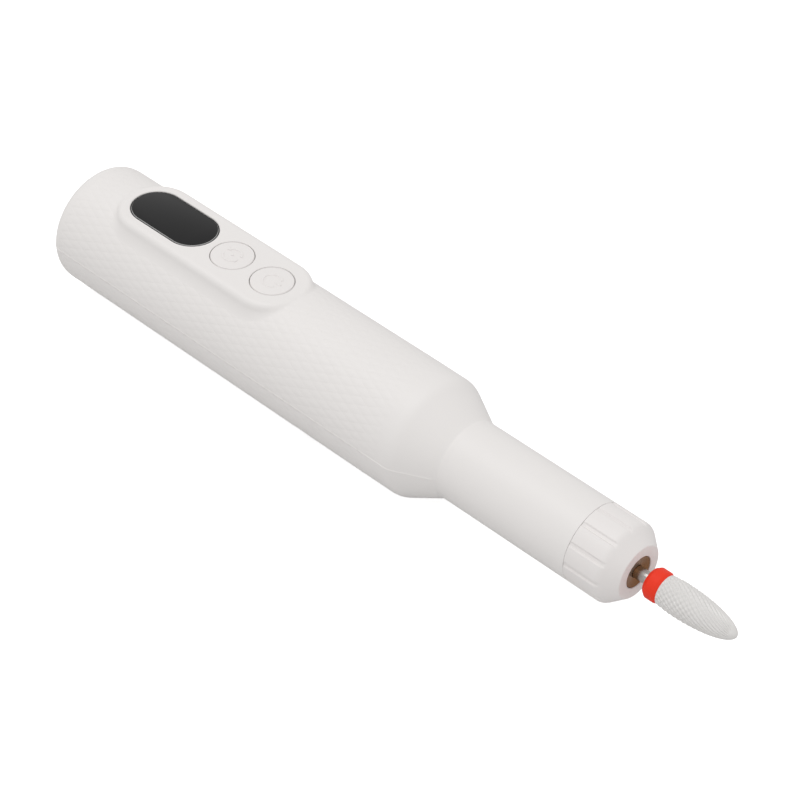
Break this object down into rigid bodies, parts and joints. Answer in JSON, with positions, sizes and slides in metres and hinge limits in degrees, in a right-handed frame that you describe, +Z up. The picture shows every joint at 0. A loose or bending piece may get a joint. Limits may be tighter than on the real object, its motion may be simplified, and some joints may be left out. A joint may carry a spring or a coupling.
{
  "type": "electric nail drill",
  "caption": "Slim cordless pen drill for nails with a display, two buttons, a twist-lock nose collar and a tapered ceramic bit.",
  "frame": {"origin": "under the middle of the whole tool, bit included, at the height of the lowest line of the round body as it lies with its display up", "axes": "+X along the tool towards the bit, +Z up through the display and buttons, +Y to the left when looking along +X"},
  "size_m": [0.158, 0.024, 0.0242],
  "materials": {
    "shell_plastic": "warm white, satin, raised diamond pattern on the grip",
    "collar_plastic": "warm white, satin",
    "button_plastic": "warm white, satin, raised marks",
    "lens_plastic": "smoked, polished",
    "dark_plastic": "moulded black",
    "board_laminate": "green solder mask",
    "cell_sleeve": "shrink sleeve over a metal can",
    "nickel": "nickel strip",
    "foam": "open foam",
    "black_rubber": "moulded",
    "wire_red": "silicone insulation",
    "steel": "ground",
    "zinc_steel": "zinc plated",
    "ball_steel": "polished",
    "spring_steel": "drawn wire",
    "port_steel": "tin plated",
    "magnet": "sintered ferrite",
    "core_steel": "stacked laminations",
    "copper": "enamelled winding wire",
    "bronze": "sintered bush",
    "carbon": "carbon brush",
    "brass": "turned",
    "aluminium": "turned",
    "red_plastic": "red grit-code ring",
    "ceramic": "sintered, cross cut"
  },
  "bodies": {
    "housing": {"upper_shell": "shell_plastic", "lower_shell": "shell_plastic", "shell_screws": "zinc_steel", "display_lens": "lens_plastic", "display_gasket": "black_rubber", "display_module": "dark_plastic", "mode_switch": "dark_plastic", "power_switch": "dark_plastic", "control_board": "board_laminate", "board_parts": "dark_plastic", "board_screws": "zinc_steel", "battery_cell": "cell_sleeve", "battery_tabs": "nickel", "battery_foam": "foam", "battery_leads": "wire_red", "charge_leads": "wire_red", "motor_leads": "wire_red", "charge_port": "port_steel", "charge_tongue": "dark_plastic", "charge_board": "board_laminate", "motor_can": "zinc_steel", "motor_end_cap": "dark_plastic", "motor_bushes": "bronze", "motor_magnets": "magnet", "motor_brushes": "carbon", "motor_cushions": "black_rubber", "rear_bearing_outer": "steel", "front_bearing_outer": "steel", "bearing_clip": "spring_steel", "spindle_housing": "aluminium", "collar_clip": "spring_steel"},
    "mode_button": {"mode_button": "button_plastic", "mode_plunger": "dark_plastic"},
    "power_button": {"power_button": "button_plastic", "power_plunger": "dark_plastic"},
    "collar": {"nose_collar": "collar_plastic"},
    "release_ring": {"release_ring": "aluminium", "release_pins": "steel"},
    "spindle": {"motor_shaft": "steel", "armature": "core_steel", "armature_windings": "copper", "commutator": "copper", "drive_coupling": "aluminium", "spindle": "steel", "rear_bearing_inner": "steel", "front_bearing_inner": "steel", "chuck_collet": "steel", "chuck_spring": "spring_steel"},
    "chuck_sleeve": {"chuck_sleeve": "brass"},
    "rear_balls": {"rear_bearing_balls": "ball_steel", "rear_bearing_cage": "brass"},
    "front_balls": {"front_bearing_balls": "ball_steel", "front_bearing_cage": "brass"},
    "bit": {"bit_shank": "steel", "bit_ring": "red_plastic", "bit_head": "ceramic"}
  },
  "joints": [
    {"name": "mode_press", "type": "slide", "parent": "housing", "child": "mode_button", "axis": [0, 0, -1], "range_m": [0, 0.0003], "stiffness_N_per_m": 1500},
    {"name": "power_press", "type": "slide", "parent": "housing", "child": "power_button", "axis": [0, 0, -1], "range_m": [0, 0.0003], "stiffness_N_per_m": 1500},
    {"name": "collar_turn", "type": "hinge", "parent": "housing", "child": "collar", "pos_m": [0.053, 0, 0.012], "axis": [1, 0, 0], "range_deg": [0, 45]},
    {"name": "release_slide", "type": "slide", "parent": "housing", "child": "release_ring", "axis": [-1, 0, 0], "range_m": [0, 0.0008]},
    {"name": "spindle_spin", "type": "hinge", "parent": "housing", "child": "spindle", "pos_m": [0.033, 0, 0.012], "axis": [1, 0, 0], "continuous": true},
    {"name": "chuck_slide", "type": "slide", "parent": "spindle", "child": "chuck_sleeve", "axis": [-1, 0, 0], "range_m": [0, 0.0008], "deforming": ["chuck_spring"]},
    {"name": "rear_balls_spin", "type": "hinge", "parent": "housing", "child": "rear_balls", "pos_m": [0.0265, 0, 0.012], "axis": [1, 0, 0], "continuous": true},
    {"name": "front_balls_spin", "type": "hinge", "parent": "housing", "child": "front_balls", "pos_m": [0.0435, 0, 0.012], "axis": [1, 0, 0], "continuous": true},
    {"name": "bit_pull", "type": "slide", "parent": "spindle", "child": "bit", "axis": [1, 0, 0], "range_m": [0, 0.024]}
  ],
  "couplings": [
    {"joint": "collar_turn", "follows": "chuck_slide", "rad_per_m": 981.7},
    {"joint": "release_slide", "follows": "chuck_slide", "ratio": 1},
    {"joint": "rear_balls_spin", "follows": "spindle_spin", "ratio": 0.41429},
    {"joint": "front_balls_spin", "follows": "spindle_spin", "ratio": 0.41429}
  ]
}
